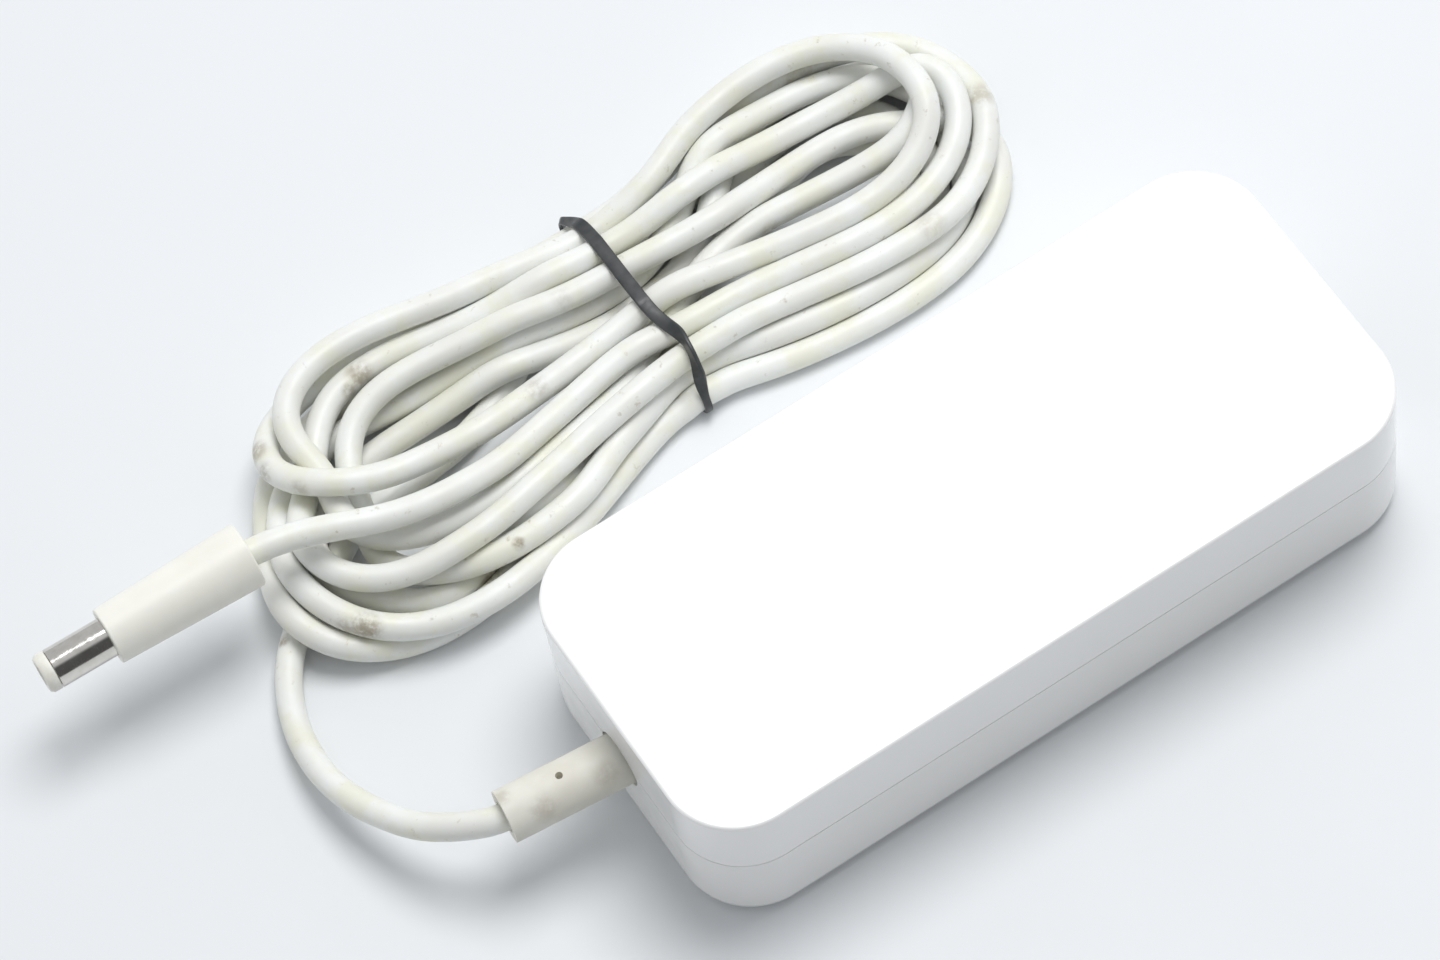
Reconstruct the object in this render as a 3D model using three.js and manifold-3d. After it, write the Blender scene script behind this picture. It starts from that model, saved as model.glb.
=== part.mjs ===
// Laptop power adapter. A welded two-part casing holds the circuit board. The output lead leaves one
// end through a moulded relief, is folded into a hank that a rubber band holds, and ends in a barrel
// plug. Millimetres. The origin is the middle of the casing's underside, +X points along the casing
// to its mains inlet, +Z is up, and everything rests on the plane z = 0.
import * as THREE from 'three';
import { mergeVertices } from 'three/addons/utils/BufferGeometryUtils.js';
import Module from 'manifold-3d';

const wasm = await Module();
wasm.setup();

// ---- driving dimensions ---------------------------------------------------------------------
const CASE_L = 108; // casing length
const CASE_W = 47.5; // casing width
const CASE_H = 26; // casing height
const CORNER_R = 10; // upright corners
const TOP_EDGE_R = 0.6; // the top rim is almost sharp
const BASE_EDGE_R = 2.8; // the lower rim is rounded
const WALL = 2.0; // wall, floor and roof
const SEAM_Z = CASE_H * 0.565; // where the two covers meet
const GAP = 0.3; // clearance between separate pieces
const LIP_T = 0.7; // locating lip on the lower cover
const LIP_H = 1.6;

const CORD_D = 3.7; // output lead
const EXIT_Z = CASE_H * 0.523; // the lead leaves the end wall here
const RELIEF_D = 7.2; // moulded relief on the lead
const RELIEF_L = 16.4; // outside the wall
const RELIEF_LEAN = 5.5; // degrees, towards +Y, from long use
const RELIEF_FLANGE_D = 10.4;

const HANK_H = 9; // folded lead, as it lies
const HANK_WAIST_X = -15; // where the band squeezes it
const BAND_W = 2.0;
const BAND_T = 0.7;

const PLUG_Z = 16.5; // plug axis over the table
const PLUG_Y = 51.2;
const PLUG_YAW = 1.2; // degrees
const GRIP_L = 21;
const GRIP_D_CORD = 9.0;
const GRIP_D_TIP = 7.9;
const BARREL_D = 5.5; // standard low-voltage barrel
const BARREL_BORE = BARREL_D * 0.455;
const BARREL_L = 8.1; // metal that stands out of the grip
const TIP_RING_L = 1.7;

const INLET_W = 20; // housing of the two-pin mains inlet
const INLET_H = 11.6;
const INLET_DEPTH = 15.8;
const INLET_RECESS = 12;
const PIN_D = 2.4; // standard pins
const PIN_PITCH = 8.6;

const STANDOFF = CASE_H * 0.1; // board over the floor
const BOARD_T = 1.6;
const BOARD_MARGIN = 0.6; // board to wall

// ---- geometry helpers -----------------------------------------------------------------------
function solid(geometry) {
  const bare = geometry.clone();
  bare.deleteAttribute('normal');
  bare.deleteAttribute('uv');
  const merged = mergeVertices(bare, 1e-4);
  const index = merged.index.array;
  const triVerts = [];
  for (let i = 0; i < index.length; i += 3) {
    const [a, b, c] = [index[i], index[i + 1], index[i + 2]];
    if (a !== b && b !== c && c !== a) triVerts.push(a, b, c);
  }
  const vertProperties = new Float32Array(merged.attributes.position.array);
  return new wasm.Manifold(new wasm.Mesh({
    numProp: 3, vertProperties, triVerts: new Uint32Array(triVerts),
  }));
}

function geometryOf(manifold) {
  const mesh = manifold.getMesh();
  const geometry = new THREE.BufferGeometry();
  geometry.setAttribute('position', new THREE.BufferAttribute(mesh.vertProperties, 3));
  geometry.setIndex(new THREE.BufferAttribute(mesh.triVerts, 1));
  geometry.computeVertexNormals();
  return geometry;
}

// box by its centre in plan and its two heights
function block(x, y, lx, ly, z0, z1) {
  return new THREE.BoxGeometry(lx, ly, z1 - z0).translate(x, y, (z0 + z1) / 2);
}

// upright cylinder between two heights
function post(x, y, d, z0, z1, sides = 24) {
  return new THREE.CylinderGeometry(d / 2, d / 2, z1 - z0, sides)
    .rotateX(Math.PI / 2).translate(x, y, (z0 + z1) / 2);
}

// cylinder along X between two stations
function rod(x0, x1, y, z, d, sides = 24) {
  return new THREE.CylinderGeometry(d / 2, d / 2, Math.abs(x1 - x0), sides)
    .rotateZ(Math.PI / 2).translate((x0 + x1) / 2, y, z);
}

// turned body: the profile is a closed list of [radius, height], and the axis is +Z
function turned(profile, sides = 32) {
  const points = profile.map(([r, h]) => new THREE.Vector2(r, h));
  return new THREE.LatheGeometry(points, sides).rotateX(Math.PI / 2);
}

function roundedRect(lx, ly, r) {
  const [x, y] = [lx / 2, ly / 2];
  const shape = new THREE.Shape();
  shape.moveTo(-x + r, -y);
  shape.lineTo(x - r, -y);
  shape.absarc(x - r, -y + r, r, -Math.PI / 2, 0);
  shape.lineTo(x, y - r);
  shape.absarc(x - r, y - r, r, 0, Math.PI / 2);
  shape.lineTo(-x + r, y);
  shape.absarc(-x + r, y - r, r, Math.PI / 2, Math.PI);
  shape.lineTo(-x, -y + r);
  shape.absarc(-x + r, -y + r, r, Math.PI, 1.5 * Math.PI);
  return shape;
}

function plate(shape, z0, z1, curveSegments = 8) {
  return new THREE.ExtrudeGeometry(shape, { depth: z1 - z0, bevelEnabled: false, curveSegments })
    .translate(0, 0, z0);
}

// round tube along hand-placed points
function tube(points, d, sides, steps) {
  const path = new THREE.CatmullRomCurve3(points.map((p) => new THREE.Vector3(...p)), false, 'centripetal');
  const section = new THREE.Shape();
  for (let i = 0; i < sides; i += 1) {
    const a = (2 * Math.PI * (i + 0.5)) / sides;
    const [x, y] = [(d / 2) * Math.cos(a), (d / 2) * Math.sin(a)];
    if (i === 0) section.moveTo(x, y);
    else section.lineTo(x, y);
  }
  section.closePath();
  return new THREE.ExtrudeGeometry(section, { steps, extrudePath: path, bevelEnabled: false });
}

// ---- materials ------------------------------------------------------------------------------
function material(color, roughness, metalness = 0) {
  return new THREE.MeshStandardMaterial({ color, roughness, metalness });
}
const glossWhite = material(0xf2f1ee, 0.2);
const whiteSide = material(0xe9e8e5, 0.35);
const cordWhite = material(0xd9d8cf, 0.45);
const reliefCream = material(0xd0ccbc, 0.6);
const gripCream = material(0xe9e7da, 0.45);
const nickel = material(0xb9b6ae, 0.25, 1);
const ivory = material(0xe6e2cf, 0.5);
const blackRubber = material(0x4a4d4f, 0.6);
const blackPlastic = material(0x1c1c1d, 0.5);
const boardTan = material(0xb08d57, 0.6);
const aluminium = material(0xc5c7c9, 0.4, 1);
const ferrite = material(0x2b2b2d, 0.7);
const tape = material(0xe0c43a, 0.4);
const copper = material(0xb4622d, 0.35, 1);
const steel = material(0xa9abad, 0.35, 1);

const adapter = new THREE.Group();
function add(name, geometry, look) {
  const mesh = new THREE.Mesh(geometry, look);
  mesh.name = name;
  adapter.add(mesh);
  return mesh;
}

// ---- casing ---------------------------------------------------------------------------------
const innerL = CASE_L - 2 * WALL;
const innerW = CASE_W - 2 * WALL;
const boardZ = WALL + STANDOFF;
const boardTop = boardZ + BOARD_T;
const partZ = boardTop + GAP; // underside of what stands on the board
const room = CASE_H - WALL - GAP - partZ; // height left for parts
const inletZ = Math.max(CASE_H / 2, partZ + INLET_H / 2 + 0.1);
const postX = CASE_L / 2 - 9.5;
const postY = CASE_W / 2 - 7.25;

function casingBlock(edgeR) {
  const shape = roundedRect(CASE_L - 2 * edgeR, CASE_W - 2 * edgeR, CORNER_R - edgeR);
  return solid(new THREE.ExtrudeGeometry(shape, {
    depth: CASE_H - 2 * edgeR, bevelEnabled: true, bevelThickness: edgeR, bevelSize: edgeR,
    bevelSegments: 4, curveSegments: 8,
  }).translate(0, 0, edgeR));
}

function wallOpenings() {
  const inlet = solid(block(CASE_L / 2, 0, 4 * WALL, INLET_W + 2 * GAP,
    inletZ - INLET_H / 2 - GAP, inletZ + INLET_H / 2 + GAP));
  const lead = solid(rod(-CASE_L / 2 - WALL, -CASE_L / 2 + 2 * WALL, 0, EXIT_Z, RELIEF_D + 3 * GAP, 32));
  return inlet.add(lead);
}

function ring(outerInset, innerInset, z0, z1) {
  const outer = solid(plate(roundedRect(CASE_L - 2 * outerInset, CASE_W - 2 * outerInset,
    CORNER_R - outerInset), z0, z1));
  const inner = solid(plate(roundedRect(CASE_L - 2 * innerInset, CASE_W - 2 * innerInset,
    CORNER_R - innerInset), z0 - 1, z1 + 1));
  return outer.subtract(inner);
}

function bottomCover() {
  let cover = casingBlock(BASE_EDGE_R);
  cover = cover.subtract(solid(block(0, 0, 2 * CASE_L, 2 * CASE_W, SEAM_Z - GAP / 2, 2 * CASE_H)));
  cover = cover.subtract(solid(plate(roundedRect(innerL, innerW, CORNER_R - WALL), WALL, CASE_H)));
  cover = cover.add(ring(WALL - LIP_T, WALL, SEAM_Z - 2, SEAM_Z + LIP_H));
  for (const sx of [-1, 1]) {
    for (const sy of [-1, 1]) {
      cover = cover.add(solid(post(sx * postX, sy * postY, 4.5, WALL / 2, boardZ - GAP, 16)));
    }
  }
  return cover.subtract(wallOpenings());
}

function topCover() {
  const inside = plate(roundedRect(innerL, innerW, CORNER_R - WALL), -1, CASE_H - WALL);
  let cover = casingBlock(TOP_EDGE_R);
  cover = cover.subtract(solid(block(0, 0, 2 * CASE_L, 2 * CASE_W, -CASE_H, SEAM_Z + GAP / 2)));
  cover = cover.subtract(solid(inside));
  cover = cover.subtract(ring(WALL - LIP_T - GAP, WALL + 1, SEAM_Z - 1, SEAM_Z + LIP_H + GAP));
  for (const sx of [-1, 1]) {
    for (const sy of [-1, 1]) {
      cover = cover.add(solid(post(sx * postX, sy * postY, 4, partZ, CASE_H - WALL / 2, 16)));
    }
  }
  return cover.subtract(wallOpenings());
}

add('bottom_cover', geometryOf(bottomCover()), whiteSide);
add('top_cover', geometryOf(topCover()), glossWhite);

// ---- mains inlet ----------------------------------------------------------------------------
const inletFace = CASE_L / 2 - 0.2;

// a block flush with the end wall, with a flange inside it and a figure-eight recess for the plug
function inletHousing() {
  const back = inletFace - INLET_DEPTH;
  let housing = solid(block(inletFace - INLET_DEPTH / 2, 0, INLET_DEPTH, INLET_W,
    inletZ - INLET_H / 2, inletZ + INLET_H / 2));
  const flangeX = CASE_L / 2 - WALL - GAP - 0.75;
  housing = housing.add(solid(block(flangeX, 0, 1.5, INLET_W + 3,
    inletZ - INLET_H / 2, inletZ + INLET_H / 2 + 1.5)));
  const floor = inletFace - INLET_RECESS;
  let recess = solid(block((floor + inletFace + 2) / 2, 0, INLET_RECESS + 2, PIN_PITCH,
    inletZ - 2.7, inletZ + 2.7));
  for (const side of [-1, 1]) {
    recess = recess.add(solid(rod(floor, inletFace + 2, side * PIN_PITCH / 2, inletZ, 7.4, 28)));
    housing = housing.subtract(solid(rod(back - 1, floor + 1, side * PIN_PITCH / 2, inletZ,
      PIN_D + 2 * GAP, 20)));
  }
  return housing.subtract(recess);
}

add('ac_inlet_housing', geometryOf(inletHousing()), blackPlastic);

// ---- board zone: positions are for the 108 mm casing and stretch with it ----------------------
const zoneK = (CASE_L - 21) / 87;
const wideK = CASE_W / 47.5;
const roundK = Math.min(zoneK, wideK);
const atX = (x) => -CASE_L / 2 + 5 + (x + 49) * zoneK;
const atY = (y) => y * wideK;

// a box-shaped component standing on the board
function component(x, y, lx, ly, height) {
  return block(atX(x), atY(y), lx * zoneK, ly * wideK, partZ, partZ + height);
}

// each pin runs from the recess through the housing's back wall
for (const [name, side] of [['line', -1], ['neutral', 1]]) {
  const y = side * PIN_PITCH / 2;
  const tail = inletFace - INLET_DEPTH - 1.2;
  add(`inlet_pin_${name}`, rod(tail, inletFace - 2.5, y, inletZ, PIN_D, 20), nickel);
  add(`ac_wire_${name}`, tube([
    [tail - GAP, y, inletZ], [tail - 1.6, y, inletZ - 0.4], [tail - 2.2, y, inletZ - 2.4],
    [tail - 2.3, y, partZ],
  ], 1.4, 8, 8), blackPlastic);
}

const boardShape = roundedRect(innerL - 2 * BOARD_MARGIN, innerW - 2 * BOARD_MARGIN,
  CORNER_R - WALL - BOARD_MARGIN);
add('main_board', plate(boardShape, boardZ, boardTop), boardTan);
add('insulating_sheet', plate(roundedRect(innerL - 28, innerW - 6, 3),
  WALL + GAP, WALL + GAP + 0.4), ivory);

add('fuse', post(atX(30.5), atY(-14), 8 * roundK, partZ, partZ + room * 0.42), blackPlastic);
add('inrush_thermistor', rod(atX(28.8), atX(32.2), atY(14.5), partZ + 4.4 * roundK, 8.8 * roundK),
  material(0x3c6b4a, 0.6));
add('mains_filter_capacitor', component(29, 0, 6.6, 15, room * 0.78), tape);

// toroidal choke: a ring core with a winding on each half
function chokeHalf(side) {
  const [x, y] = [atX(16.5), atY(-9)];
  const wound = solid(turned([[3.1, -4], [7.9, -4], [7.9, 4], [3.1, 4], [3.1, -4]], 28));
  const core = solid(turned([[3.9, -3.1], [7.1, -3.1], [7.1, 3.1], [3.9, 3.1], [3.9, -3.1]], 28));
  const half = solid(block(0, side * 5, 20, 8, -5, 5));
  return geometryOf(wound.intersect(half).subtract(core))
    .scale(roundK, roundK, 1).translate(x, y, partZ + 6);
}
add('choke_core', turned([[4.2, -2.8], [6.8, -2.8], [6.8, 2.8], [4.2, 2.8], [4.2, -2.8]], 28)
  .scale(roundK, roundK, 1).translate(atX(16.5), atY(-9), partZ + 6), ferrite);
add('choke_winding_line', chokeHalf(-1), copper);
add('choke_winding_neutral', chokeHalf(1), copper);
add('choke_base', component(16.5, -9, 15, 15, 1.6), blackPlastic);

add('bridge_rectifier', component(17, 8.6, 15, 3.4, room * 0.62), blackPlastic);
add('line_capacitor', new THREE.CylinderGeometry(4 * roundK, 4 * roundK, 2.6 * wideK, 24)
  .translate(atX(17), atY(13.6), partZ + 4 * roundK), material(0x3f6fb0, 0.5));

// main electrolytic capacitor, lying across the board, with its crimped groove
function bulkCapacitor() {
  const r = Math.min(7.9 * zoneK, room / 2 - GAP);
  const length = 28 * wideK;
  const profile = [
    [0, 0], [r - 1.2, 0], [r, 0.9], [r, 2.2], [r - 0.7, 3], [r, 3.8],
    [r, length - 1], [r - 0.9, length], [0, length],
  ];
  return turned(profile, 36).rotateX(Math.PI / 2)
    .translate(atX(-0.5), atY(-4) + length / 2, partZ + r);
}
add('bulk_capacitor', bulkCapacitor(), material(0x1d2a44, 0.35));

// ---- transformer ----------------------------------------------------------------------------
const trX = atX(-20.5);
const trHalfX = 11 * zoneK;
const trHalfY = 13 * wideK;
const trMid = partZ + room / 2;

function transformerCore(side) {
  const [w, leg, depth] = [trHalfX, 2.2 * zoneK, room * 0.3];
  const centre = 2.8 * zoneK;
  const back = trHalfY - 2.6 * wideK;
  const shape = new THREE.Shape([
    [-w, GAP / 2], [-w + leg, GAP / 2], [-w + leg, back], [-centre, back], [-centre, GAP / 2],
    [centre, GAP / 2], [centre, back], [w - leg, back], [w - leg, GAP / 2], [w, GAP / 2],
    [w, trHalfY], [-w, trHalfY],
  ].map(([x, y]) => new THREE.Vector2(x, y)));
  const half = new THREE.ExtrudeGeometry(shape, { depth: 2 * depth, bevelEnabled: false })
    .translate(0, 0, -depth);
  if (side < 0) half.rotateZ(Math.PI);
  return half.translate(trX, 0, trMid);
}

// a spool: a square tube round the core's middle leg with a flange at each end
function transformerBobbin() {
  const hole = [2.8 * zoneK + GAP, room * 0.3 + GAP];
  const end = trHalfY - 2.6 * wideK - GAP;
  const flangeX = trHalfX - 2.2 * zoneK - GAP;
  let spool = solid(block(0, 0, 2 * (hole[0] + 0.9), 2 * end, -hole[1] - 0.9, hole[1] + 0.9));
  for (const side of [-1, 1]) {
    spool = spool.add(solid(block(0, side * (end - 0.5), 2 * flangeX, 1, -room * 0.47, room * 0.47)));
  }
  return spool.subtract(solid(block(0, 0, 2 * hole[0], 3 * end, -hole[1], hole[1])));
}

function transformerWinding() {
  const inner = [2.8 * zoneK + 1.2 + GAP, room * 0.3 + 1.2 + GAP];
  const end = trHalfY - 2.6 * wideK - 1 - 2 * GAP;
  const outer = solid(block(0, 0, 2 * (trHalfX - 2.2 * zoneK - GAP - 0.4), 2 * end,
    -room * 0.45, room * 0.45));
  return outer.subtract(solid(block(0, 0, 2 * inner[0], 3 * end, -inner[1], inner[1])));
}

add('transformer_core_near', transformerCore(-1), ferrite);
add('transformer_core_far', transformerCore(1), ferrite);
add('transformer_bobbin', geometryOf(transformerBobbin()), blackPlastic).position.set(trX, 0, trMid);
add('transformer_winding', geometryOf(transformerWinding()), tape).position.set(trX, 0, trMid);

// ---- power semiconductors on their heat spreaders --------------------------------------------
// side is the long wall that the spreader stands along; the device faces the middle of the board
function powerStage(plateName, deviceName, screwName, side, x0, x1, deviceX, deviceW) {
  const plateY = side * (CASE_W / 2 - WALL - 4.1);
  const top = partZ + room - GAP;
  const screwZ = top - 3.2;
  const holeAcross = (d) => new THREE.CylinderGeometry(d / 2, d / 2, 16, 20)
    .translate(deviceX, plateY, screwZ);
  let spreader = solid(block((x0 + x1) / 2, plateY, x1 - x0, 1.5, partZ, top));
  spreader = spreader.subtract(solid(holeAcross(3.6)));
  add(plateName, geometryOf(spreader), aluminium);

  const tabY = plateY - side * (0.75 + GAP + 0.6);
  const bodyY = plateY - side * (0.75 + GAP + 2.1);
  let device = solid(block(deviceX, tabY, deviceW, 1.2, top - 13, top));
  device = device.add(solid(block(deviceX, bodyY, deviceW, 4.2, top - 15, top - 6.6)));
  device = device.subtract(solid(holeAcross(3.6)));
  add(deviceName, geometryOf(device), blackPlastic);

  const headY = tabY - side * (0.6 + GAP);
  const screw = turned([[0, 0], [2.6, 0], [2.6, 1.5], [1.4, 1.5], [1.4, 6], [0, 6]], 20)
    .rotateX(side > 0 ? -Math.PI / 2 : Math.PI / 2)
    .translate(deviceX, headY - side * 1.5, screwZ);
  add(screwName, screw, steel);
}
powerStage('primary_heatsink', 'switching_transistor', 'transistor_screw', 1,
  atX(-8), atX(22), atX(0.5), 9 * zoneK);
// the rectifier stands between the top cover's post and the transformer
const rectifierRoom = [-postX + 2 + GAP, trX - trHalfX - GAP];
const rectifierW = Math.min(9 * zoneK, rectifierRoom[1] - rectifierRoom[0]);
const rectifierX = Math.max(atX(-36.4), rectifierRoom[0] + rectifierW / 2);
powerStage('secondary_heatsink', 'output_rectifier', 'rectifier_screw', -1,
  Math.max(atX(-41.5), -postX + 3), atX(-21), rectifierX, rectifierW);

// ---- output side and control ------------------------------------------------------------------
function electrolytic(x, y, d, height) {
  const r = (d / 2) * roundK;
  return turned([
    [0, 0], [r - 0.6, 0], [r, 0.6], [r, 1.4], [r - 0.5, 1.9], [r, 2.4],
    [r, height - 0.6], [r - 0.6, height], [0, height],
  ], 28).translate(atX(x), atY(y), partZ);
}
add('output_capacitor_1', electrolytic(-37.3, 12.4, 9.6, room * 0.88), material(0x5b2f2a, 0.4));
add('output_capacitor_2', electrolytic(-37.6, 1.6, 9.6, room * 0.88), material(0x5b2f2a, 0.4));
add('output_inductor', turned([
  [0, 0], [3.4, 0], [3.4, 1.4], [2.6, 1.4], [2.6, 8.6], [3.4, 8.6], [3.4, 10], [0, 10],
], 24).scale(roundK, roundK, 1).translate(atX(-38), atY(-7.6), partZ), ferrite);
add('optocoupler', component(-22, 17, 9, 4.4, 3.4), blackPlastic);
add('controller_chip', component(-14, -17, 6, 4.6, 1.6), blackPlastic);

// ---- strain relief and output lead ------------------------------------------------------------
const exitX = -CASE_L / 2;
const lean = THREE.MathUtils.degToRad(RELIEF_LEAN);
const reliefDir = new THREE.Vector3(-Math.cos(lean), Math.sin(lean), 0);
const reliefFace = reliefDir.clone().multiplyScalar(RELIEF_L).add(new THREE.Vector3(exitX, 0, EXIT_Z));

// flange and neck inside the wall, then a plain sleeve outside it with a small moulding hole on top
function strainRelief() {
  const neck = solid(rod(exitX - 1.2, exitX + WALL + GAP + 2, 0, EXIT_Z, RELIEF_D - 0.2, 28));
  const flange = solid(rod(exitX + WALL + GAP, exitX + WALL + GAP + 2, 0, EXIT_Z,
    RELIEF_FLANGE_D, 28));
  const r = RELIEF_D / 2;
  const mouth = CORD_D / 2 + 0.35;
  const sleeve = turned([
    [0, 0], [r - 0.2, 0], [r, 0.3], [r, RELIEF_L - 0.4], [r - 0.4, RELIEF_L],
    [mouth, RELIEF_L], [mouth, RELIEF_L - 1.2], [0, RELIEF_L - 1.2],
  ], 36).rotateY(-Math.PI / 2).rotateZ(-lean).translate(exitX, 0, EXIT_Z);
  const hole = post(exitX - 8.1, 0.85, 0.9, EXIT_Z + r - 1.2, EXIT_Z + r + 1, 10);
  return solid(sleeve).add(neck).add(flange).subtract(solid(hole));
}
add('strain_relief', geometryOf(strainRelief()), reliefCream);

// two insulated conductors from the relief to the board
for (const [name, side] of [['positive', 1], ['negative', -1]]) {
  const x = exitX + WALL + 2 * GAP + 2;
  add(`dc_wire_${name}`, tube([
    [x, side * 1.1, EXIT_Z], [x + 1.5, side * 1.5, EXIT_Z - 0.5], [x + 2.6, side * 2.2, EXIT_Z - 3],
    [x + 2.8, side * 2.6, partZ],
  ], 1.3, 8, 8), side > 0 ? material(0xb3302a, 0.5) : blackPlastic);
}

// Everything on the lead keeps its place to the relief's mouth.
const leadX = reliefFace.x + 70.3;
const leadY = reliefFace.y - 1.6;

// the lead sinks from the relief to the table in one loop that ends under the hank
const cordR = CORD_D / 2;
const sink = EXIT_Z - cordR;
const leadIn = [
  [-69.4, 1.5, 1], [-71.3, 2, 0.98], [-74.5, 3.7, 0.91], [-77.3, 6.2, 0.78], [-79.9, 9.4, 0.63],
  [-81.9, 13.3, 0.5], [-83.7, 17.6, 0.37], [-84.6, 21.1, 0.28], [-85.1, 25.1, 0.19],
  [-84.8, 30.8, 0.1], [-83.8, 35, 0.04], [-82.5, 38.2, 0.01], [-80.9, 41.3, 0],
].map(([x, y, up]) => [x + leadX, y + leadY, cordR + up * sink]);
// it leaves the relief's mouth straight
leadIn[0] = reliefFace.clone().addScaledVector(reliefDir, -0.9).toArray();
leadIn[1] = reliefFace.clone().addScaledVector(reliefDir, 1).toArray();
add('cord_lead_in', tube(leadIn, CORD_D, 8, 14), cordWhite);

// outline of the folded turns: two loose lobes and the waist that the band pulls in, with a small
// flat at the left end that the lead-in meets
const hankFlat = [[-82.9, 42.5], [-78.7, 40.7]];
const hankEdge = [
  [-74, 36.6], [-67.8, 33.8], [-60.8, 32.2], [-53, 31.8], [-44, 33.4], [-34, 36.8], [-23, 40.6],
  [-15, 41.8], [-7, 40.8], [0, 39.6], [8, 38.6], [14, 38.2], [20, 38.4], [27, 39.6], [33.5, 42.8],
  [38.5, 48], [41.3, 55], [41.5, 61], [39.2, 67], [36, 72.5], [31, 77.4], [24.5, 79.4], [18, 79.4],
  [7.4, 78], [-4, 75.8], [-15, 74.9], [-26.6, 75.8], [-40.6, 77.6], [-49, 78.6], [-55.3, 78.4],
  [-60.7, 76.6], [-65.5, 71.8], [-69.5, 66], [-75, 60], [-79.6, 53], [-82, 47.5],
];
const bandY = [41.8, 74.9];

// the band lies in a groove under the hank, so both rest on the table
function cordHank() {
  const [start, corner, ...edge] = [...hankFlat, ...hankEdge]
    .map(([x, y]) => new THREE.Vector2(x + leadX, y + leadY));
  const outline = new THREE.Shape();
  outline.moveTo(start.x, start.y);
  outline.lineTo(corner.x, corner.y);
  outline.splineThru([...edge, start]);
  const hank = solid(plate(outline, 0, HANK_H, 2));
  const groove = block(HANK_WAIST_X + leadX, 59 + leadY, BAND_W + 2 * GAP, 60, -1, BAND_T + GAP);
  return hank.subtract(solid(groove));
}
add('cord_hank', geometryOf(cordHank()), cordWhite);

function rubberBand() {
  const [y0, y1] = [bandY[0] - 2 * GAP, bandY[1] + 2 * GAP];
  const [z0, z1] = [BAND_T, HANK_H + GAP];
  const outer = block(HANK_WAIST_X, (y0 + y1) / 2, BAND_W, y1 - y0 + 2 * BAND_T,
    z0 - BAND_T, z1 + BAND_T);
  const inner = block(HANK_WAIST_X, (y0 + y1) / 2, 2 * BAND_W, y1 - y0, z0, z1);
  return solid(outer).subtract(solid(inner)).translate(leadX, leadY, 0);
}
add('rubber_band', geometryOf(rubberBand()), blackRubber);

// ---- plug ---------------------------------------------------------------------------------------
// built along +Z from the lead's end of the grip, then laid along -X
const plug = new THREE.Group();
plug.position.set(-78.2 + leadX, PLUG_Y + leadY, PLUG_Z);
plug.rotation.set(0, -Math.PI / 2, THREE.MathUtils.degToRad(-PLUG_YAW), 'ZYX');
adapter.add(plug);

function plugPiece(name, profile, look) {
  const mesh = new THREE.Mesh(turned(profile, 32), look);
  mesh.name = name;
  plug.add(mesh);
}
const [gripA, gripB] = [GRIP_D_CORD / 2, GRIP_D_TIP / 2];
const barrelR = BARREL_D / 2;
const socket = GRIP_L - 9; // depth that the metal reaches into the grip
plugPiece('plug_grip', [
  [0, 1.5], [cordR + 0.3, 1.5], [cordR + 0.3, 0], [gripA - 0.3, 0], [gripA, 0.3],
  [gripB, GRIP_L - 0.3], [gripB - 0.3, GRIP_L], [barrelR + GAP, GRIP_L], [barrelR + GAP, socket],
  [0, socket],
], gripCream);
const tipZ = GRIP_L + BARREL_L;
plugPiece('plug_barrel', [
  [barrelR - 0.4, socket + GAP], [barrelR, socket + GAP], [barrelR, tipZ], [barrelR - 0.4, tipZ],
  [barrelR - 0.4, socket + GAP],
], nickel);
// moulded insulator inside the barrel, with the collar that forms the plug's nose
const sleeveR = barrelR - 0.4 - 0.15;
const contactR = BARREL_BORE / 2 + 0.3;
plugPiece('plug_tip_insulator', [
  [contactR + 0.15, socket + 1], [sleeveR, socket + 1], [sleeveR, tipZ + 0.1],
  [barrelR, tipZ + 0.1], [barrelR, tipZ + TIP_RING_L - 0.4], [barrelR - 0.4, tipZ + TIP_RING_L],
  [contactR + 0.15, tipZ + TIP_RING_L], [contactR + 0.15, socket + 1],
], ivory);
plugPiece('plug_centre_contact', [
  [BARREL_BORE / 2, socket + 1.4], [contactR, socket + 1.4], [contactR, tipZ + TIP_RING_L - 0.5],
  [BARREL_BORE / 2, tipZ + TIP_RING_L - 0.5], [BARREL_BORE / 2, socket + 1.4],
], nickel);

// the last stretch lies along the top of the hank and rises a little to the plug
const over = HANK_H + GAP + cordR;
const leadOut = [
  [-50, 46.2, 0], [-52.8, 46.3, 0.05], [-55.7, 46.5, 0.14], [-59.9, 47.1, 0.3], [-63.7, 48.2, 0.45],
  [-68.5, 49.7, 0.66], [-72.7, 50.7, 0.84], [-76, 51.1, 0.96], [-78.2, 51.2, 1],
].map(([x, y, up]) => [x + leadX, y + leadY, over + up * (PLUG_Z - over)]);
const inward = new THREE.Vector3(-1, Math.tan(THREE.MathUtils.degToRad(PLUG_YAW)), 0);
leadOut[leadOut.length - 1] = plug.position.clone().addScaledVector(inward, 1.2).toArray();
add('cord_lead_out', tube(leadOut, CORD_D, 8, 8), cordWhite);

export default adapter;
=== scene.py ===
# A small white laptop power adapter with its output lead wound into a hank and held by an elastic band.
# Sizes are written in millimetres and placed in metres, +Z up, from the middle of the casing's underside.
import math
import bmesh
import bpy
import numpy as np
from mathutils import Matrix, Vector


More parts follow.
